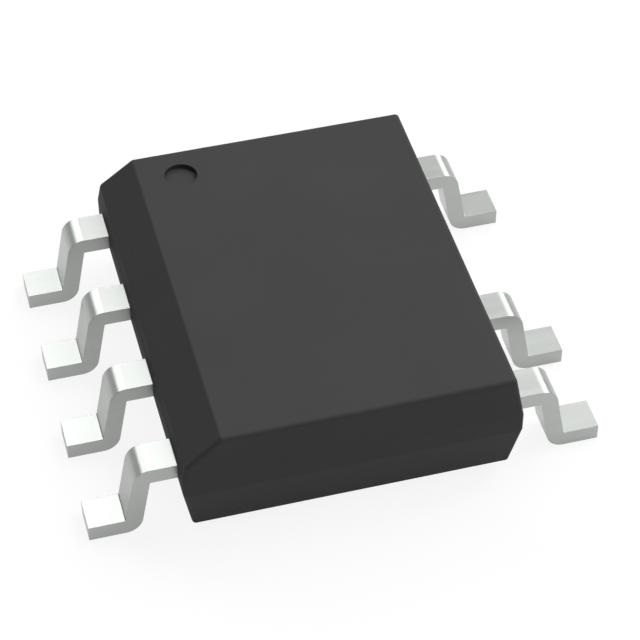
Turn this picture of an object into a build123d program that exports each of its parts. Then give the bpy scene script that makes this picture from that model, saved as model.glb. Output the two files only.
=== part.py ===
"""Controller chip in a small-outline moulding, with seven gull-wing leads.

Sizes are in millimetres. The origin is on the seating plane under the middle of the
chip, +X runs across the leads, +Y towards leads 1 and 8, and +Z up.
"""

import os
from math import atan2, cos, radians, tan

from build123d import *

# Lead places, counted round the body from the pin-1 corner; place 7 is empty
lead_pitch = 1.27
places_per_side = 4
lead_numbers = (1, 2, 3, 4, 5, 6, 8)
ground_lead = 4

# Moulded body: halves that narrow away from an upright parting strip
body_width = 3.91
end_margin = 0.507
standoff = 0.14
lower_depth = 0.603
upper_depth = 0.555
strip_margin = 0.012
lower_draft = 10.0
upper_side_draft = 10.2
upper_end_draft = 4.0
bevel_width = 0.355
bevel_height = 0.335
corner_radius = 0.05
edge_radius = 0.045

# Pin-1 dimple in the top and ejector-pin marks in the underside
dimple_diameter = 0.40
dimple_depth = 0.055
dimple_from_bevel = 0.51
dimple_from_end = 0.45
ejector_diameter = 0.70
ejector_depth = 0.03
ejector_spacing = 2.40

# Gull-wing leads, bent from one strip
lead_width = 0.42
lead_thickness = 0.20
overall_width = 6.00
foot_length = 0.425
riser_slant = 10.5
bend_radius = 0.03

# Inner fingers, held by the moulding
wall_cover = 0.20
finger_slit = 0.30
finger_corner = 0.06
lock_hole_diameter = 0.18
lock_hole_inset = 0.13

# Die pad, set down below the leads, and the arm that joins it to the ground lead
pad_width = 2.00
pad_length = 3.30
pad_gap = 0.20
downset = 0.20
arm_width = 0.50

# Die and the layer that bonds it to the pad
die_width = 1.20
die_length = 1.60
die_thickness = 0.25
attach_thickness = 0.025
attach_overhang = 0.04

# Bond wires, from a ball on the die to a stitch on the finger, their round section drawn with flats
wire_diameter = 0.05
wire_flats = 8
ball_diameter = 0.10
ball_height = 0.02
bond_inset = 0.10
rise_height = 0.10
loop_height = 0.16
loop_shoulder = 0.08
stitch_length = 0.10
stitch_depth = 0.01
landing_inset = 0.20

# Levels and spans that follow from the sizes above
body_length = (places_per_side - 1) * lead_pitch + 2 * end_margin
strip_bottom = standoff + lower_depth
shoulder_top = strip_bottom + strip_margin + lead_thickness
strip_top = shoulder_top + strip_margin
body_top = strip_top + upper_depth
pad_top = shoulder_top - downset
die_bottom = pad_top + attach_thickness
die_top = die_bottom + die_thickness
head_start = body_width / 2 - wall_cover
finger_end = pad_width / 2 + pad_gap
foot_start = overall_width / 2 - foot_length


def lead_side(number):
    """-1 for the bevelled side of the body, 1 for the side across from it."""
    return -1 if number <= places_per_side else 1


def lead_row(number):
    """Place of a lead along its side, 1 at the pin-1 end."""
    return number if number <= places_per_side else 2 * places_per_side + 1 - number


def lead_y(number):
    """Y of a lead's centre line."""
    return lead_pitch * ((places_per_side + 1) / 2 - lead_row(number))


def head_span(number):
    """Lowest and highest Y of a finger's head, a slit apart from its neighbours."""
    reach = (lead_pitch - finger_slit) / 2
    low = lead_width / 2 if lead_row(number) == places_per_side else reach
    high = lead_width / 2 if lead_row(number) == 1 else reach
    return lead_y(number) - low, lead_y(number) + high


def riser_x(z, depth):
    """X of the riser at height z, on the face that lies depth under its outer side."""
    slant = radians(riser_slant)
    return foot_start - (z - lead_thickness) * tan(slant) - depth / cos(slant)


def strip_edge(number, depth):
    """Corners and bend radii of a strip's edge, depth under its upper side, from the inside out."""
    hollow_bend = bend_radius + depth
    outer_bend = bend_radius + lead_thickness - depth
    shoulder = shoulder_top - depth
    foot = lead_thickness - depth
    points = [(finger_end, shoulder)]
    radii = []
    if number == ground_lead:
        slope_shift = depth * tan(atan2(downset, pad_gap) / 2)
        pad_level = pad_top - depth
        points = [
            (-pad_width / 2, pad_level),
            (pad_width / 2 + slope_shift, pad_level),
            (finger_end + slope_shift, shoulder),
        ]
        radii = [hollow_bend, outer_bend]
    points += [
        (riser_x(shoulder, depth), shoulder),
        (riser_x(foot, depth), foot),
        (overall_width / 2, foot),
    ]
    radii += [outer_bend, hollow_bend]
    return [(lead_side(number) * x, z) for x, z in points], radii


def lead_outline(number):
    """Plan of a lead: the narrow strip, its wide head inside the moulding and the locking hole."""
    side = lead_side(number)
    low, high = head_span(number)
    head_y = (low + high) / 2
    with Locations((side * (finger_end + head_start) / 2, head_y)):
        Rectangle(head_start - finger_end, high - low)
    inner_corners = vertices().group_by(Axis.X)[0 if side > 0 else -1]
    if number != ground_lead:
        fillet(inner_corners, radius=finger_corner)
    with Locations((side * (head_start - lock_hole_inset), head_y)):
        Circle(lock_hole_diameter / 2, mode=Mode.SUBTRACT)
    with Locations((side * (head_start + overall_width / 2) / 2, lead_y(number))):
        Rectangle(overall_width / 2 - head_start, lead_width)


def pad_outline(number):
    """Plan of the die pad, of the arm beside the ground lead and of the slope up to it."""
    side = lead_side(number)
    low, high = head_span(number)
    Rectangle(pad_width, pad_length)
    with Locations((side * (finger_end + pad_width / 2 - arm_width) / 2, (low + high) / 2)):
        Rectangle(pad_gap + arm_width, high - low)


def make_lead(number):
    """A lead: its side profile, drawn out across the chip and trimmed to its plan."""
    with BuildPart() as lead:
        with BuildSketch(Plane.XZ):
            with BuildLine():
                upper_points, upper_radii = strip_edge(number, 0)
                under_points, under_radii = strip_edge(number, lead_thickness)
                FilletPolyline(*upper_points, radius=upper_radii)
                FilletPolyline(*under_points, radius=under_radii)
                Line(upper_points[0], under_points[0])
                Line(upper_points[-1], under_points[-1])
            make_face()
        extrude(amount=body_length / 2, both=True)
        with BuildSketch(Plane.XY):
            lead_outline(number)
            if number == ground_lead:
                pad_outline(number)
        extrude(amount=shoulder_top, mode=Mode.INTERSECT)
    lead.part.label = f"die_pad_lead_{number}" if number == ground_lead else f"lead_{number}"
    return lead.part


def wire_ends(number):
    """Points over the die's bond pad and over the finger's landing, both at the die's top."""
    side = lead_side(number)
    low, high = head_span(number)
    row_reach = (places_per_side - 1) / 2 * lead_pitch
    pad_y = lead_y(number) / row_reach * (die_length / 2 - bond_inset)
    start = Vector(side * (die_width / 2 - bond_inset), pad_y, die_top)
    return start, Vector(side * (finger_end + landing_inset), (low + high) / 2, die_top)


def make_bond_wire(number):
    """A bond wire: ball on the die, bent wire, and an end pressed on its lead's finger."""
    start, end = wire_ends(number)
    run = end - start
    landing = shoulder_top + wire_diameter / 2 - stitch_depth - die_top
    upright = Plane(origin=start, x_dir=run, z_dir=run.cross(Vector(0, 0, 1)))
    with BuildPart() as wire:
        with BuildLine(upright):
            Polyline(
                (0, 0),
                (0, rise_height),
                (loop_shoulder, loop_height),
                (run.length - stitch_length, landing),
                (run.length, landing),
            )
        with BuildSketch(Plane(origin=start, x_dir=run)):
            RegularPolygon(wire_diameter / 2, wire_flats)
        sweep(transition=Transition.RIGHT)
        with BuildSketch(Plane(start)):
            Circle(ball_diameter / 2)
        extrude(amount=ball_height)
        add(leads[number], mode=Mode.SUBTRACT)
    wire.part.label = f"bond_wire_{number}"
    return wire.part


def body_outline(height, side_draft, end_draft):
    """Plan of the body at a height from its parting strip, narrowed by its drafts."""
    side_step = height * tan(radians(side_draft))
    end_step = height * tan(radians(end_draft))
    RectangleRounded(body_width - 2 * side_step, body_length - 2 * end_step, corner_radius)


def upper_side_x(z):
    """X of the body's drafted side at height z above the parting strip."""
    return body_width / 2 - (z - strip_top) * tan(radians(upper_side_draft))


leads = {number: make_lead(number) for number in lead_numbers}

with BuildPart() as die_attach:
    with BuildSketch(Plane.XY.offset(pad_top)):
        Rectangle(die_width + 2 * attach_overhang, die_length + 2 * attach_overhang)
    extrude(amount=attach_thickness)
die_attach.part.label = "die_attach"

with BuildPart() as silicon_die:
    with BuildSketch(Plane.XY.offset(die_bottom)):
        Rectangle(die_width, die_length)
    extrude(amount=die_thickness)
silicon_die.part.label = "silicon_die"

bond_wires = [make_bond_wire(number) for number in lead_numbers]

held_pieces = [*leads.values(), die_attach.part, silicon_die.part, *bond_wires]

with BuildPart() as mould_body:
    with BuildSketch(Plane.XY.offset(standoff)):
        body_outline(lower_depth, lower_draft, lower_draft)
    with BuildSketch(Plane.XY.offset(strip_bottom)):
        body_outline(0, lower_draft, lower_draft)
    loft(ruled=True)
    with BuildSketch(Plane.XY.offset(strip_bottom)):
        body_outline(0, lower_draft, lower_draft)
    extrude(amount=strip_top - strip_bottom)
    with BuildSketch(Plane.XY.offset(strip_top)):
        body_outline(0, upper_side_draft, upper_end_draft)
    with BuildSketch(Plane.XY.offset(body_top)):
        body_outline(upper_depth, upper_side_draft, upper_end_draft)
    loft(ruled=True)

    # Bevel along the top edge over leads 1 to 4
    bevel_foot = body_top - bevel_height
    bevel_x = bevel_width - upper_side_x(body_top)
    bevel_run = bevel_x + upper_side_x(bevel_foot)
    bevel_plane = Plane(
        origin=(bevel_x, 0, body_top),
        x_dir=(0, 1, 0),
        z_dir=(-bevel_height, 0, bevel_run),
    )
    split(bisect_by=bevel_plane, keep=Keep.BOTTOM)

    # Small radii round the top, the bevel and the underside
    flats = faces().filter_by(Plane.XY) + faces().filter_by(bevel_plane)
    fillet(flats.edges(), radius=edge_radius)

    # Pin-1 dimple, placed from the bevel and from the end of the top face
    dimple_x = bevel_x + dimple_from_bevel
    dimple_y = body_length / 2 - upper_depth * tan(radians(upper_end_draft)) - dimple_from_end
    with BuildSketch(Plane.XY.offset(body_top)):
        with Locations((dimple_x, dimple_y)):
            Circle(dimple_diameter / 2)
    extrude(amount=-dimple_depth, mode=Mode.SUBTRACT)

    with BuildSketch(Plane.XY.offset(standoff)):
        with GridLocations(0, ejector_spacing, 1, 2):
            Circle(ejector_diameter / 2)
    extrude(amount=ejector_depth, mode=Mode.SUBTRACT)

    # Hollows for everything that the moulding holds
    for piece in held_pieces:
        add(piece, mode=Mode.SUBTRACT)
mould_body.part.label = "mould_body"

os.makedirs("parts", exist_ok=True)
for piece in [mould_body.part, *held_pieces]:
    export_step(piece, f"parts/{piece.label}.step")
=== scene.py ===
"""Looks of the controller chip: tinned leads, black moulding, and the die, bond and wires inside."""

from math import atan2, cos, pi, radians, sin, tan

import bpy
import numpy as np
from mathutils import Matrix, Vector


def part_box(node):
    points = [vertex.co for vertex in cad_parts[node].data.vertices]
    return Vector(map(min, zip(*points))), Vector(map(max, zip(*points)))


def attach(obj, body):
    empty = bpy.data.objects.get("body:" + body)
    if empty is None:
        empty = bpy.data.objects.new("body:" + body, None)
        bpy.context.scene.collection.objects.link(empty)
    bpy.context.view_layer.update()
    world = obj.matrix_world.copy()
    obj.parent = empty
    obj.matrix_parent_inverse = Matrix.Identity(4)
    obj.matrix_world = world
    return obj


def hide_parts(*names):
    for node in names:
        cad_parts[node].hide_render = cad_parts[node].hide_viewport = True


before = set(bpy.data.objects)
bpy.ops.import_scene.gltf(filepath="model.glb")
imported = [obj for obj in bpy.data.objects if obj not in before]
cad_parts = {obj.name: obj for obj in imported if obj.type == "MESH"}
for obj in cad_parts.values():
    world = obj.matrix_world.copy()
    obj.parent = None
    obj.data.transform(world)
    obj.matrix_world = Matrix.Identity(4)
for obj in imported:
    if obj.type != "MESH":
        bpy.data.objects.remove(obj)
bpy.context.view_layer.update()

# Everything is in metres
MM = 0.001

# Leads, with the sizes of the part's source, numbered round the moulding; place 7 is empty
PITCH = 1.27 * MM
PLACES_PER_SIDE = 4
GROUND_LEAD = 4
STRIP_WIDTH = 0.42 * MM
STRIP_THICKNESS = 0.20 * MM
SHOULDER_TOP = 0.955 * MM
TIP_X = 3.0 * MM
FOOT_START_X = 2.575 * MM
RISER_SLANT = radians(10.5)
HEAD_END_X = 1.755 * MM
FINGER_END_X = 1.2 * MM
FINGER_CORNER = 0.06 * MM
LOCK_HOLE_X = 1.625 * MM
LOCK_HOLE_RADIUS = 0.09 * MM

# What the punch and the bending tool leave on the leads, finer than in the source
INNER_BEND_RADIUS = 0.012 * MM
PUNCHED_EDGE = 0.004 * MM
TIP_CORNER = 0.001 * MM
SQUARE_CORNER = 0.014 * MM

# Die pad, set down below the leads, and the arm that slopes up from it to the ground lead's finger
DOWNSET = 0.20 * MM
PAD_HALF_WIDTH = 1.0 * MM
PAD_HALF_LENGTH = 1.65 * MM
PAD_CORNER = 0.05 * MM
ARM_START_X = 0.985 * MM
SLOPE_START_X = 1.04 * MM
SLOPE_END_X = 1.24 * MM
ARM_END_X = 1.30 * MM
ARM_BEND_RADIUS = 0.13 * MM

# Die and the paste that bonds it
DIE_TOP = 1.03 * MM
DIE_CORNER = 0.01 * MM
DIE_EDGE = 0.006 * MM
PASTE_CORNER = 0.06 * MM
PASTE_EDGE = 0.012 * MM

# Bond wires: from a ball on the die, up, over and down to an end that is pressed on the finger
WIRE_RADIUS = 0.0245 * MM
BALL_RADIUS = 0.05 * MM
BALL_HEIGHT = 0.02 * MM
BOND_PAD_X = 0.50 * MM
BOND_PAD_REACH = 0.70 * MM
LANDING_X = 1.40 * MM
WIRE_SEAT = 0.004 * MM
RISE_HEIGHT = 0.10 * MM
LOOP_SHOULDER = 0.08 * MM
LOOP_HEIGHT = 0.175 * MM
STITCH_LENGTH = 0.10 * MM
STITCH_APPROACH = 0.012 * MM
STITCH_LIFT = 0.015 * MM
PRESSED_SHARE = 0.12
PRESSED_DEPTH = 0.45

# Where the silvered landings end and the tin starts, from the chip's middle, and how far each edge fades
LANDING_END_X = 1.48 * MM
TIN_START_X = 1.90 * MM
PLATING_FADE = 0.02 * MM

# Studio: paper a hair under the leads, how white the camera and mirrors see it, and the lamps' distance
FLOOR_Z = -0.002 * MM
FLOOR_CENTRE_RADIUS = 35 * MM
FLOOR_RADIUS = 140 * MM
SWEEP_RUN = 80 * MM
SWEEP_RISE = 36 * MM
WHITE_TO_CAMERA = 0.88
WHITE_TO_MIRRORS = 0.68
AIR_STRENGTH = 0.14
LAMP_DISTANCE = 120 * MM

# Fineness of the meshes, with the decimals at which two places on an outline count as one, and how
# near its last knot a spline is followed
ROUND_STEPS = 5
BEND_STEPS = 20
CREASE_ANGLE = radians(35)
PLACE_DIGITS = 9
LAST_KNOT_GAP = 1e-9

# CAD node of each lead
LEAD_NODES = {number: f"lead_{number}" for number in (1, 2, 3, 4, 5, 6, 8)}
LEAD_NODES[GROUND_LEAD] = "die_pad_lead_4"


def lead_side(number):
    """-1 for the bevelled side of the moulding, 1 for the side across from it."""
    return -1 if number <= PLACES_PER_SIDE else 1


def lead_y(number):
    """Y of a lead's centre line."""
    row = number if number <= PLACES_PER_SIDE else 2 * PLACES_PER_SIDE + 1 - number
    return PITCH * ((PLACES_PER_SIDE + 1) / 2 - row)


def head_span(number):
    """Lowest and highest Y of the wide head of a lead's finger, read from its CAD node."""
    corners = np.array([vertex.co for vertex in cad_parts[LEAD_NODES[number]].data.vertices])
    distance = abs(corners[:, 0])
    head = corners[(distance > FINGER_END_X - PUNCHED_EDGE) & (distance < HEAD_END_X + PUNCHED_EDGE)]
    return float(head[:, 1].min()), float(head[:, 1].max())


head_spans = {number: head_span(number) for number in LEAD_NODES}


# Surfaces

def filleted_line(corners, radii):
    """A line of straight runs whose corners are arcs: an arc of radius r starts and ends r*tan(turn/2)
    from its corner. Gives the points, and their unit directions, as arrays."""
    corners = np.array(corners, float)
    runs = np.diff(corners, axis=0)
    runs /= np.linalg.norm(runs, axis=1)[:, None]
    points, directions = [corners[0]], [runs[0]]
    for corner, before, after, radius in zip(corners[1:-1], runs[:-1], runs[1:], radii):
        turn = atan2(before[0] * after[1] - before[1] * after[0], before @ after)
        left = np.array([-before[1], before[0]])
        centre = corner - before * radius * tan(abs(turn) / 2) + np.sign(turn) * left * radius
        angle = np.linspace(0, turn, BEND_STEPS + 1)[:, None]
        arm = -np.sign(turn) * left * radius
        across = np.array([-arm[1], arm[0]])
        points.extend(centre + np.cos(angle) * arm + np.sin(angle) * across)
        directions.extend(np.cos(angle) * before + np.sin(angle) * left)
    points.append(corners[-1])
    directions.append(runs[-1])
    return np.array(points), np.array(directions)


def rounded_rectangle(width, height, radii):
    """Corner centres and outward unit arrows of a rounded rectangle about the origin: its outline is
    centre + radius * arrow. The radii are one number, or a column with one for each point."""
    quarter = np.linspace(0, pi / 2, ROUND_STEPS)
    angle = np.concatenate([quarter + turn * pi / 2 for turn in range(4)])
    signs = np.repeat([(1, 1), (-1, 1), (-1, -1), (1, -1)], ROUND_STEPS, axis=0)
    return signs * (np.array([width, height]) / 2 - radii), np.stack([np.cos(angle), np.sin(angle)], 1)


def with_heights(flat, heights):
    """Points in space from a grid of flat points, with a row, a column or a whole grid of heights."""
    level = np.broadcast_to(heights, flat.shape[:2])
    return np.concatenate([flat, level[:, :, None]], 2)


def bar_along(points, directions, y, width, thickness, edge, rounded_tip):
    """A bar of rounded-rectangle section carried along a line in the XZ plane: point(u, v) = line(u) +
    across(v) + up(v). At a rounded tip the section's corners shrink as edge*cos a, but not below
    TIP_CORNER, while the line goes on by edge*sin a. Gives the points and their unit normals."""
    radii, tilts = np.full(len(points), edge), np.zeros(len(points))
    if rounded_tip:
        quarter = np.linspace(0, pi / 2, ROUND_STEPS)[1:]
        heading = directions[-1]
        start = points[-1] - heading * edge
        tip = start + heading * edge * np.sin(quarter)[:, None]
        points = np.concatenate([points[:-1], [start], tip])
        directions = np.concatenate([directions, np.tile(heading, (len(quarter), 1))])
        radii = np.concatenate([radii, np.maximum(edge * np.cos(quarter), TIP_CORNER)])
        tilts = np.concatenate([tilts, np.sin(quarter)])
    radius, tilt = radii[:, None], tilts[:, None]
    centres, arrows = rounded_rectangle(width, thickness, edge)
    up = np.stack([-directions[:, 1], directions[:, 0]], 1)
    across = y + centres[:, 0] + radius * arrows[:, 0]
    rise = centres[:, 1] + radius * arrows[:, 1]
    grid = np.stack([points[:, :1] + up[:, :1] * rise, across, points[:, 1:] + up[:, 1:] * rise], 2)
    level = np.sqrt(1 - tilt ** 2)
    normals = np.stack([
        level * arrows[:, 1] * up[:, :1] + tilt * directions[:, :1],
        level * arrows[:, 0],
        level * arrows[:, 1] * up[:, 1:] + tilt * directions[:, 1:],
    ], 2)
    return grid, normals


def holed_plate(low, high, corner_radii, hole, hole_radius, edge, samples=96):
    """A flat plate round a hole, between two corners in space: point(s, v), where s runs round the
    outline and v goes from the hole's wall over the top to the outline and back under. Each outline
    point is joined to the hole's point on the ray towards it. The faces are flat from three edges in."""
    (x0, y0, z0), (x1, y1, z1) = low, high
    radii = np.repeat(corner_radii, ROUND_STEPS)[:, None]
    centres, arrows = rounded_rectangle(x1 - x0, y1 - y0, radii)
    outline = np.array([x0 + x1, y0 + y1]) / 2 + centres + radii * arrows
    rim = np.concatenate([np.hstack([outline, arrows]), [[*outline[0], *arrows[0]]]])
    length = np.concatenate([[0], np.cumsum(np.linalg.norm(np.diff(rim[:, :2], axis=0), axis=1))])
    even_spots = np.linspace(0, length[-1], samples, endpoint=False)
    spots = np.unique(np.concatenate([length[:-1], even_spots]).round(PLACE_DIGITS))
    rim = np.stack([np.interp(spots, length, column) for column in rim.T], 1)
    ray = rim[:, :2] - hole
    ray /= np.linalg.norm(ray, axis=1)[:, None]
    flat_start = 3 * edge
    wall = [(0, z0 + edge), (0, z1 - edge), (edge, z1), (flat_start, z1)]
    side = [(flat_start, z1), (edge, z1), (0, z1 - edge), (0, z0 + edge), (edge, z0), (flat_start, z0)]
    under = [(flat_start, z0), (edge, z0)]
    rows = [hole + ray * (hole_radius + inset) for inset, z in wall]
    rows += [rim[:, :2] - rim[:, 2:] * inset for inset, z in side]
    rows += [hole + ray * (hole_radius + inset) for inset, z in under]
    return with_heights(np.stack(rows, 1), np.array([z for inset, z in wall + side + under]))


def slab(low, high, corner, edge):
    """A flat slab with rounded corners and edges, between two corners in space: rounded-rectangle rings
    stacked in z, each edge a quarter round, so ring(a) lies edge*(1-cos a) inside the outline at depth
    edge*(1-sin a) under the face. One more ring inside each edge, pulled in by twice the edge, keeps the
    face flat up to it."""
    (x0, y0, z0), (x1, y1, z1) = low, high
    centres, arrows = rounded_rectangle(x1 - x0, y1 - y0, corner)
    quarter = np.linspace(0, pi / 2, ROUND_STEPS)
    quarters = np.concatenate([[pi / 2], quarter[::-1], quarter, [pi / 2]])
    radius = corner - edge * (1 - np.cos(quarters))
    depth = edge * (1 - np.sin(quarters))
    lower = np.arange(len(quarters)) < len(quarters) // 2
    pull = np.zeros(len(quarters))
    pull[[0, -1]] = 2 * edge
    middle = np.array([x0 + x1, y0 + y1]) / 2
    flat = middle + centres - pull[:, None, None] * np.sign(centres) + radius[:, None, None] * arrows
    return with_heights(flat, np.where(lower, z0 + depth, z1 - depth)[:, None])


def round_wire(points, radius, flatten, sides=16):
    """A round wire along a line in space: point(u, v) = line(u) + r*(cos v / sqrt(k(u)) * side +
    sin v * k(u) * lift), where k falls below 1 where the end is pressed, so that the wire gets thinner
    and wider there."""
    heading = np.gradient(points, axis=0)
    heading /= np.linalg.norm(heading, axis=1)[:, None]
    side = np.cross((0, 0, 1), points[-1] - points[0])
    side /= np.linalg.norm(side)
    lift = np.cross(heading, side)[:, None, :]
    angle = np.linspace(0, 2 * pi, sides, endpoint=False)[None, :, None]
    thin = flatten[:, None, None]
    around = np.cos(angle) / np.sqrt(thin) * side + np.sin(angle) * thin * lift
    return points[:, None, :] + radius * around


def squashed_ball(centre, radius, bottom, top, rings=9, sides=24):
    """A ball bond, squashed between the tool and the die: ring(t) has the radius r*cos t and rises from
    bottom to top in step with sin t, for t from above the lower pole to below the upper one."""
    foot, crown = -0.38 * pi, 0.42 * pi
    t = np.linspace(foot, crown, rings)
    ring_radius = (radius * np.cos(t))[:, None]
    height = bottom + (top - bottom) * (np.sin(t) - sin(foot)) / (sin(crown) - sin(foot))
    angle = np.linspace(0, 2 * pi, sides, endpoint=False)
    flat = np.stack([centre[0] + ring_radius * np.cos(angle), centre[1] + ring_radius * np.sin(angle)], 2)
    return with_heights(flat, height[:, None])


def loop_line(controls, samples=60):
    """A quadratic B-spline from the first of its control points to the last, worked out with the basis
    N(i,p) = (t-t_i)/(t_i+p-t_i) N(i,p-1) + (t_i+p+1-t)/(t_i+p+1-t_i+1) N(i+1,p-1)."""
    controls = np.array(controls, float)
    spans = len(controls) - 2
    knots = np.concatenate([[0, 0], np.arange(spans + 1), [spans, spans]]).astype(float)
    t = np.linspace(0, spans - LAST_KNOT_GAP, samples)[:, None]
    basis = ((t >= knots[:-1]) & (t < knots[1:])).astype(float)
    for degree in (1, 2):
        rise = knots[degree:-1] - knots[:-degree - 1]
        fall = knots[degree + 1:] - knots[1:-degree]
        climbing = np.where(rise > 0, (t - knots[:-degree - 1]) / np.where(rise > 0, rise, 1), 0)
        sinking = np.where(fall > 0, (knots[degree + 1:] - t) / np.where(fall > 0, fall, 1), 0)
        basis = climbing * basis[:, :-1] + sinking * basis[:, 1:]
    return basis @ controls


# Pieces

def grid_faces(rows, columns, looped):
    """Quads of a grid of points whose rows are closed rings, as an array. A looped grid joins its last
    row to its first; any other has its first and last row closed by a face each, given as a list."""
    index = np.arange(rows * columns).reshape(rows, columns)
    ends = [] if looped else [index[0, ::-1], index[-1]]
    if looped:
        index = np.concatenate([index, index[:1]])
    index = np.concatenate([index, index[:, :1]], 1)
    quads = np.stack([index[:-1, :-1], index[:-1, 1:], index[1:, 1:], index[1:, :-1]], 2)
    return quads.reshape(-1, 4), ends


def volume_of(points, quads, ends):
    """Six times the signed volume that quads and end faces close round, from a fan of each."""
    fans = [quads[:, [0, 1, 2]], quads[:, [0, 2, 3]]]
    fans += [np.stack([np.full(len(end) - 2, end[0]), end[1:-1], end[2:]], 1) for end in ends]
    first, second, third = points[np.concatenate(fans)].transpose(1, 0, 2)
    return np.einsum("ij,ij->", first, np.cross(second, third))


def put_in_scene(name, data):
    """A new object in the scene, with its mesh, lamp or camera."""
    thing = bpy.data.objects.new(name, data)
    bpy.context.scene.collection.objects.link(thing)
    return thing


def smooth_mesh(name, points, faces):
    """A smooth-shaded mesh from arrays of points and lists of faces."""
    mesh = bpy.data.meshes.new(name)
    mesh.from_pydata(points.tolist(), [], faces)
    mesh.polygons.foreach_set("use_smooth", [True] * len(mesh.polygons))
    return mesh


def make_piece(name, grids, finish, node, normals=None, looped=False):
    """One object from closed shells, each a grid of points, that stands for a CAD node. It is creased by
    angle where no normals are given."""
    points, faces, start = [], [], 0
    for grid in grids:
        shell = grid.reshape(-1, 3)
        quads, ends = grid_faces(*grid.shape[:2], looped)
        if volume_of(shell - shell.mean(0), quads, ends) < 0:
            quads, ends = quads[:, ::-1], [end[::-1] for end in ends]
        faces += (start + quads).tolist() + [(start + end).tolist() for end in ends]
        points.append(shell)
        start += len(shell)
    mesh = smooth_mesh(name, np.concatenate(points), faces)
    if normals is None:
        mesh.set_sharp_from_angle(angle=CREASE_ANGLE)
    else:
        mesh.normals_split_custom_set_from_vertices(normals.reshape(-1, 3).tolist())
    mesh.validate()
    mesh.materials.append(finish)
    piece = put_in_scene(name, mesh)
    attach(piece, "root")
    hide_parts(node)


# Finishes

class Finish:
    """A node material with one Principled shader, whose patterns sit on Object coordinates."""

    def __init__(self, name, **settings):
        self.material = bpy.data.materials.new(name)
        self.material.use_nodes = True
        self.nodes = self.material.node_tree.nodes
        self.links = self.material.node_tree.links
        self.nodes.clear()
        self.output = self.nodes.new("ShaderNodeOutputMaterial")
        self.shader = self.add("ShaderNodeBsdfPrincipled", **settings)
        self.links.new(self.shader.outputs["BSDF"], self.output.inputs["Surface"])
        self.place = self.nodes.new("ShaderNodeTexCoord").outputs["Object"]

    def add(self, kind, **settings):
        """A new node, with a value or another node's output for each named socket."""
        node = self.nodes.new(kind)
        for socket, value in settings.items():
            self.fill(node.inputs[socket.replace("_", " ")], value)
        return node

    def fill(self, socket, value):
        """Sets a socket to a value, or links another node's output to it."""
        if isinstance(value, bpy.types.NodeSocket):
            self.links.new(value, socket)
        else:
            socket.default_value = value

    def feed(self, socket, value):
        """Links another node's output to a socket of the shader."""
        self.links.new(value, self.shader.inputs[socket])

    def noise(self, grains_per_mm, detail, stretch=(1, 1, 1)):
        """Soft noise, between 0 and 1, of so many grains to a millimetre. A stretch below 1 draws them out."""
        mapping = self.add("ShaderNodeMapping", Vector=self.place, Scale=stretch)
        where = mapping.outputs["Vector"]
        noise = self.add("ShaderNodeTexNoise", Vector=where, Scale=grains_per_mm / MM, Detail=detail)
        return noise.outputs["Fac"]

    def spread(self, value, low, high, from_low=0.3, from_high=0.7):
        """A value that goes from low to high while another goes from from_low to from_high."""
        node = self.add("ShaderNodeMapRange", Value=value, To_Min=low, To_Max=high)
        node.inputs["From Min"].default_value = from_low
        node.inputs["From Max"].default_value = from_high
        return node.outputs["Result"]

    def math(self, operation, *values):
        """The result of an operation on values or other nodes' outputs."""
        node = self.nodes.new("ShaderNodeMath")
        node.operation = operation
        for socket, value in zip(node.inputs, values):
            self.fill(socket, value)
        return node.outputs["Value"]

    def blend(self, share, first, second):
        """A colour that goes from the first to the second as the share goes from 0 to 1."""
        mix = self.add("ShaderNodeMix", Factor=share)
        mix.data_type = "RGBA"
        colour_sockets = [socket for socket in mix.inputs if socket.type == "RGBA"]
        for socket, colour in zip(colour_sockets, (first, second)):
            self.fill(socket, (*colour, 1) if isinstance(colour, tuple) else colour)
        return [socket for socket in mix.outputs if socket.type == "RGBA"][0]

    def axis(self, name):
        """The distance along an axis of the object."""
        return self.add("ShaderNodeSeparateXYZ", Vector=self.place).outputs[name]

    def bump(self, height, distance, strength):
        """Roughens the surface by a height pattern."""
        node = self.add("ShaderNodeBump", Height=height, Distance=distance, Strength=strength)
        self.feed("Normal", node.outputs["Normal"])


def moulding_finish():
    """Black moulding compound with the fine matt grain of a spark-eroded mould and flecks of filler."""
    finish = Finish("black_moulding_compound", Specular_IOR_Level=0.166)
    dark, pale, filler = (0.0332, 0.0332, 0.0335), (0.0359, 0.0359, 0.0362), (0.060, 0.060, 0.058)
    cloudy = finish.blend(finish.spread(finish.noise(0.9, 3), 0, 1), dark, pale)
    flecks = finish.spread(finish.noise(42, 2), 0, 0.22, 0.66, 0.80)
    finish.feed("Base Color", finish.blend(flecks, cloudy, filler))
    finish.feed("Roughness", finish.spread(finish.noise(26, 3), 0.66, 0.72))
    finish.bump(finish.noise(30, 3), 0.0012 * MM, 0.35)
    return finish.material


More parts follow.
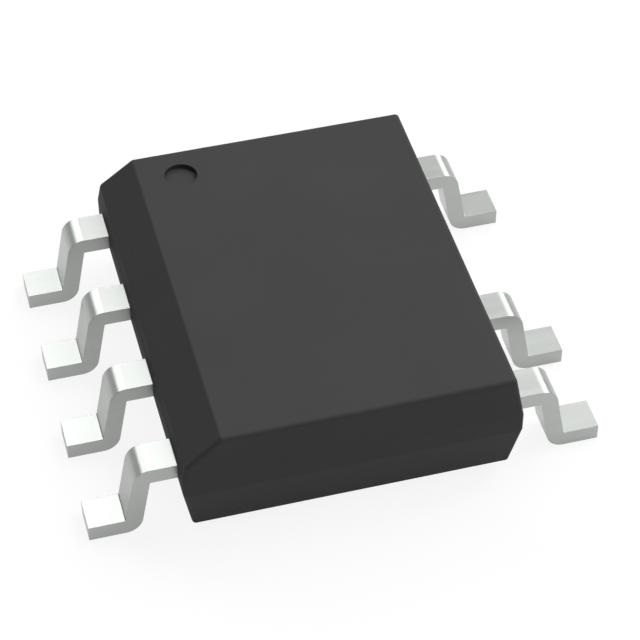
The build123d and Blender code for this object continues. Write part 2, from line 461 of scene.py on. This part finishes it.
def tin_finish():
    """Matt tin over the outside of the leads, bare copper with silvered landings inside the moulding."""
    finish = Finish("matt_tin_on_copper", Metallic=1.0)
    dark_tin, pale_tin = (0.397, 0.413, 0.398), (0.415, 0.430, 0.416)
    dark_copper, pale_copper = (0.60, 0.28, 0.17), (0.70, 0.36, 0.23)
    dark_silver, pale_silver = (0.66, 0.65, 0.62), (0.74, 0.73, 0.70)
    grain = finish.noise(60, 2)
    streaks = finish.noise(9, 2, stretch=(0.08, 1, 1))
    tin = finish.blend(finish.spread(streaks, 0, 1), dark_tin, pale_tin)
    copper = finish.blend(finish.spread(grain, 0, 1), dark_copper, pale_copper)
    silver = finish.blend(finish.spread(grain, 0, 1), dark_silver, pale_silver)
    distance = finish.math("ABSOLUTE", finish.axis("X"))
    on_landing = finish.spread(distance, 1, 0, LANDING_END_X - PLATING_FADE, LANDING_END_X + PLATING_FADE)
    inside = finish.spread(distance, 1, 0, TIN_START_X - PLATING_FADE, TIN_START_X + PLATING_FADE)
    finish.feed("Base Color", finish.blend(inside, tin, finish.blend(on_landing, copper, silver)))
    texture = finish.math("ADD", grain, streaks)
    finish.feed("Roughness", finish.spread(texture, 0.29, 0.33, 0.7, 1.3))
    finish.bump(texture, 0.0001 * MM, 0.1)
    return finish.material


def silicon_finish():
    """Passivated silicon, blue-grey and glossy: the rows of a circuit under glass, and plain sawn sides."""
    finish = Finish("passivated_silicon", Metallic=0.35)
    rows = finish.add(
        "ShaderNodeTexBrick",
        Vector=finish.place,
        Scale=9 / MM,
        Color1=(0.060, 0.085, 0.130, 1),
        Color2=(0.120, 0.100, 0.160, 1),
        Mortar=(0.250, 0.240, 0.180, 1),
        Mortar_Size=0.03,
    )
    bare, dark_saw_cut, pale_saw_cut = (0.05, 0.06, 0.09), (0.115, 0.118, 0.128), (0.155, 0.158, 0.168)
    circuit = finish.blend(finish.spread(finish.noise(3, 2), 0, 0.7), rows.outputs["Color"], bare)
    sawn = finish.blend(finish.noise(20, 2, stretch=(1, 1, 0.05)), dark_saw_cut, pale_saw_cut)
    glass_bottom, glass_top = DIE_TOP - 0.008 * MM, DIE_TOP - 0.005 * MM
    on_top = finish.spread(finish.axis("Z"), 0, 1, glass_bottom, glass_top)
    finish.feed("Base Color", finish.blend(on_top, sawn, circuit))
    finish.feed("Roughness", finish.spread(finish.noise(12, 2), 0.12, 0.28))
    finish.bump(finish.math("MULTIPLY", rows.outputs["Fac"], on_top), 0.0008 * MM, 0.4)
    return finish.material


def die_bond_finish():
    """Silver-filled bonding paste: grey, with bright flakes."""
    finish = Finish("silver_filled_paste", Metallic=0.6)
    flakes = finish.add("ShaderNodeTexVoronoi", Vector=finish.place, Scale=60 / MM).outputs["Distance"]
    flake, resin = (0.62, 0.62, 0.60), (0.34, 0.34, 0.33)
    finish.feed("Base Color", finish.blend(finish.spread(flakes, 0, 1, 0.1, 0.6), flake, resin))
    finish.feed("Roughness", finish.spread(finish.noise(20, 3), 0.35, 0.6))
    finish.bump(flakes, 0.001 * MM, 0.4)
    return finish.material


def gold_finish():
    """Drawn gold wire, a little uneven in colour and gloss."""
    finish = Finish("drawn_gold", Metallic=1.0)
    deep_gold, pale_gold = (0.86, 0.60, 0.20), (0.95, 0.70, 0.28)
    grain = finish.noise(50, 2)
    finish.feed("Base Color", finish.blend(finish.spread(grain, 0, 1), deep_gold, pale_gold))
    finish.feed("Roughness", finish.spread(grain, 0.18, 0.32))
    finish.bump(grain, 0.0006 * MM, 0.3)
    return finish.material


def paper_finish():
    """Matt white paper that glows by a share for the camera, and by another for mirrors and glass."""
    finish = Finish("white_paper", Roughness=1.0, Specular_IOR_Level=0.0)
    finish.feed("Base Color", finish.blend(finish.noise(0.4, 2), (0.90, 0.90, 0.90), (0.91, 0.91, 0.91)))
    rays = finish.nodes.new("ShaderNodeLightPath").outputs
    mirrored = finish.math("ADD", rays["Is Glossy Ray"], rays["Is Transmission Ray"])
    glow_share = finish.math(
        "ADD",
        finish.math("MULTIPLY", rays["Is Camera Ray"], WHITE_TO_CAMERA),
        finish.math("MULTIPLY", mirrored, WHITE_TO_MIRRORS),
    )
    glow = finish.nodes.new("ShaderNodeEmission").outputs["Emission"]
    mix = finish.nodes.new("ShaderNodeMixShader")
    for socket, source in zip(mix.inputs, (glow_share, finish.shader.outputs["BSDF"], glow)):
        finish.fill(socket, source)
    finish.fill(finish.output.inputs["Surface"], mix.outputs["Shader"])
    return finish.material


compound = moulding_finish()
tin = tin_finish()
silicon = silicon_finish()
paste = die_bond_finish()
gold = gold_finish()


# Leads

def riser_line_x(z):
    """X of the middle of the riser's strip at height z."""
    outer_x = FOOT_START_X - (z - STRIP_THICKNESS) * tan(RISER_SLANT)
    return outer_x - STRIP_THICKNESS / 2 / cos(RISER_SLANT)


def formed_strip(number):
    """The strip from inside the moulding over the shoulder, down the riser and along the foot."""
    shoulder, foot = SHOULDER_TOP - STRIP_THICKNESS / 2, STRIP_THICKNESS / 2
    corners = [
        (HEAD_END_X - PUNCHED_EDGE, shoulder),
        (riser_line_x(shoulder), shoulder),
        (riser_line_x(foot), foot),
        (TIP_X, foot),
    ]
    middle_radius = INNER_BEND_RADIUS + STRIP_THICKNESS / 2
    line = filleted_line(corners, [middle_radius, middle_radius])
    grid, normals = bar_along(*line, lead_y(number), STRIP_WIDTH, STRIP_THICKNESS, PUNCHED_EDGE, True)
    side = np.array([lead_side(number), 1, 1])
    return grid * side, normals * side


def locking_finger(number):
    """The finger that holds a lead in the moulding: a plate with the locking hole, square where it meets
    the strip or the arm of the die pad, and rounded at a free end."""
    side = lead_side(number)
    low_y, high_y = head_spans[number]
    inner_x, inner_corner = FINGER_END_X, FINGER_CORNER
    if number == GROUND_LEAD:
        inner_x, inner_corner = ARM_END_X, SQUARE_CORNER
    low_x, high_x = sorted((side * inner_x, side * HEAD_END_X))
    right, left = (SQUARE_CORNER, inner_corner) if side > 0 else (inner_corner, SQUARE_CORNER)
    return holed_plate(
        (low_x, low_y, SHOULDER_TOP - STRIP_THICKNESS),
        (high_x, high_y, SHOULDER_TOP),
        [right, left, left, right],
        (side * LOCK_HOLE_X, (low_y + high_y) / 2),
        LOCK_HOLE_RADIUS,
        PUNCHED_EDGE,
    )


def make_lead(number):
    """A lead's formed strip and its finger inside the moulding."""
    node = LEAD_NODES[number]
    strip, normals = formed_strip(number)
    finger = locking_finger(number)
    make_piece(f"formed_strip_{number}", [strip], tin, node, normals)
    make_piece(f"locking_finger_{number}", [finger], tin, node, looped=True)


def make_die_pad():
    """The die pad and its arm, set down below the ground lead's finger."""
    node = LEAD_NODES[GROUND_LEAD]
    pad_top = SHOULDER_TOP - DOWNSET
    pad_low = (-PAD_HALF_WIDTH, -PAD_HALF_LENGTH, pad_top - STRIP_THICKNESS)
    pad = slab(pad_low, (PAD_HALF_WIDTH, PAD_HALF_LENGTH, pad_top), PAD_CORNER, PUNCHED_EDGE)
    level, finger_level = pad_top - STRIP_THICKNESS / 2, SHOULDER_TOP - STRIP_THICKNESS / 2
    corners = [
        (ARM_START_X, level),
        (SLOPE_START_X, level),
        (SLOPE_END_X, finger_level),
        (ARM_END_X + PUNCHED_EDGE, finger_level),
    ]
    line = filleted_line(corners, [ARM_BEND_RADIUS, ARM_BEND_RADIUS])
    low_y, high_y = head_spans[GROUND_LEAD]
    width = high_y - low_y
    arm, _ = bar_along(*line, (low_y + high_y) / 2, width, STRIP_THICKNESS, PUNCHED_EDGE, False)
    side = np.array([lead_side(GROUND_LEAD), 1, 1])
    make_piece("die_pad", [pad], tin, node)
    make_piece("die_pad_arm", [arm * side], tin, node)


# Die, bond and wires

def make_bond_wire(number):
    """A gold wire from its ball on the die, over a loop, to its pressed end on the lead's finger."""
    side = lead_side(number)
    row_reach = (PLACES_PER_SIDE - 1) / 2 * PITCH
    start = np.array([side * BOND_PAD_X, lead_y(number) / row_reach * BOND_PAD_REACH])
    end = np.array([side * LANDING_X, sum(head_spans[number]) / 2])
    run = np.linalg.norm(end - start)
    landing = SHOULDER_TOP + STITCH_LIFT - DIE_TOP
    line = loop_line([
        (0, WIRE_SEAT),
        (0, RISE_HEIGHT),
        (LOOP_SHOULDER, LOOP_HEIGHT),
        (run - STITCH_LENGTH, landing + STITCH_APPROACH),
        (run, landing),
    ])
    share = line[:, :1] / run
    points = np.concatenate([start + share * (end - start), DIE_TOP + line[:, 1:]], 1)
    pressed = np.clip((share[:, 0] - 1 + PRESSED_SHARE) / PRESSED_SHARE, 0, 1)
    wire = round_wire(points, WIRE_RADIUS, 1 - PRESSED_DEPTH * pressed ** 2)
    ball = squashed_ball(start, BALL_RADIUS, DIE_TOP, DIE_TOP + BALL_HEIGHT)
    make_piece(f"gold_wire_{number}", [wire, ball], gold, f"bond_wire_{number}")


def finish_of(name):
    """The finish of a CAD node, by its name."""
    for word, finish in (("mould", compound), ("lead", tin), ("wire", gold), ("silicon", silicon)):
        if word in name:
            return finish
    return paste


for number in LEAD_NODES:
    make_lead(number)
make_die_pad()
for number in LEAD_NODES:
    make_bond_wire(number)
die = slab(*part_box("silicon_die"), DIE_CORNER, DIE_EDGE)
make_piece("die", [die], silicon, "silicon_die")
die_bond = slab(*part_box("die_attach"), PASTE_CORNER, PASTE_EDGE)
make_piece("die_bond", [die_bond], paste, "die_attach")

for name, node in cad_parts.items():
    node.data.materials.clear()
    node.data.materials.append(finish_of(name))


# Studio

def paper_sweep(steps=12, turns=96):
    """White paper, level under the chip and curving up all round like a dish: point(u, a) = (r(u)*cos a,
    r(u)*sin a, z(u)), where z rises with the square of the way past the level part."""
    way = np.linspace(0, 1, steps)
    radius = np.concatenate([[FLOOR_CENTRE_RADIUS], FLOOR_RADIUS + SWEEP_RUN * way])[:, None]
    height = np.concatenate([[0], SWEEP_RISE * way ** 2])[:, None] + FLOOR_Z
    angle = np.linspace(0, 2 * pi, turns, endpoint=False)
    grid = with_heights(np.stack([radius * np.cos(angle), radius * np.sin(angle)], 2), height)
    quads, (centre, _) = grid_faces(*grid.shape[:2], False)
    return grid.reshape(-1, 3), quads[:, ::-1].tolist() + [centre[::-1].tolist()]


def turned_back(place, away):
    """The matrix of a lamp or camera at a place, which looks back against the direction away."""
    return Matrix.Translation(place) @ away.to_track_quat("Z", "Y").to_matrix().to_4x4()


def softbox(name, bearing, height, wide, tall, radiance):
    """A softbox that faces the chip and fills wide by tall degrees of its surroundings, centred on a
    bearing from +Y towards +X and a height over the floor; radiance is what a mirror would show of it."""
    bearing, height = radians(bearing), radians(height)
    away = Vector((sin(bearing) * cos(height), cos(bearing) * cos(height), sin(height)))
    light = bpy.data.lights.new(name, "AREA")
    light.shape = "RECTANGLE"
    light.size = 2 * LAMP_DISTANCE * tan(radians(wide) / 2) * cos(height)
    light.size_y = 2 * LAMP_DISTANCE * tan(radians(tall) / 2)
    light.energy = radiance * pi * light.size * light.size_y
    put_in_scene(name, light).matrix_world = turned_back(away * LAMP_DISTANCE, away)


floor = put_in_scene("floor", smooth_mesh("floor", *paper_sweep()))
floor.data.materials.append(paper_finish())

world = bpy.data.worlds.new("studio_air")
bpy.context.scene.world = world
world.use_nodes = True
air = world.node_tree.nodes["Background"]
air.inputs["Color"].default_value = (1, 1, 1, 1)
air.inputs["Strength"].default_value = AIR_STRENGTH

softbox("overhead_softbox", bearing=0, height=79, wide=90, tall=18, radiance=1.20)
softbox("back_left_softbox", bearing=-21, height=40, wide=42, tall=20, radiance=3.45)
softbox("back_middle_softbox", bearing=0, height=49, wide=24, tall=10, radiance=3.20)
softbox("high_middle_softbox", bearing=12, height=60, wide=24, tall=12, radiance=3.35)
softbox("high_right_softbox", bearing=30, height=60, wide=48, tall=20, radiance=1.90)
softbox("back_right_softbox", bearing=42, height=40, wide=24, tall=20, radiance=1.65)
softbox("low_back_softbox", bearing=24, height=25, wide=60, tall=10, radiance=3.30)
softbox("low_right_softbox", bearing=42, height=25, wide=24, tall=10, radiance=2.40)
softbox("low_left_softbox", bearing=-48, height=20, wide=24, tall=20, radiance=0.58)
softbox("right_softbox", bearing=69, height=45, wide=30, tall=30, radiance=6.00)
softbox("high_side_softbox", bearing=90, height=55, wide=40, tall=22, radiance=7.40)
softbox("side_softbox", bearing=120, height=32, wide=60, tall=24, radiance=0.80)
softbox("front_softbox", bearing=180, height=32, wide=60, tall=24, radiance=1.00)

# Camera at the photograph's angle, with its place given from the point that it looks at
target = Vector((0.205, -0.094, 0.70)) * MM
azimuth, elevation, distance = radians(-14.96), radians(45.06), 27.845 * MM
camera = bpy.data.cameras.new("photo_camera")
camera.sensor_width = 36
camera.lens = 132.89
camera.clip_start = 1 * MM
camera.clip_end = 1000 * MM
eye = put_in_scene("photo_camera", camera)
away = Vector((sin(azimuth) * cos(elevation), -cos(azimuth) * cos(elevation), sin(elevation)))
eye.matrix_world = turned_back(target + away * distance, away)
bpy.context.scene.camera = eye
bpy.context.scene.view_settings.view_transform = "Standard"
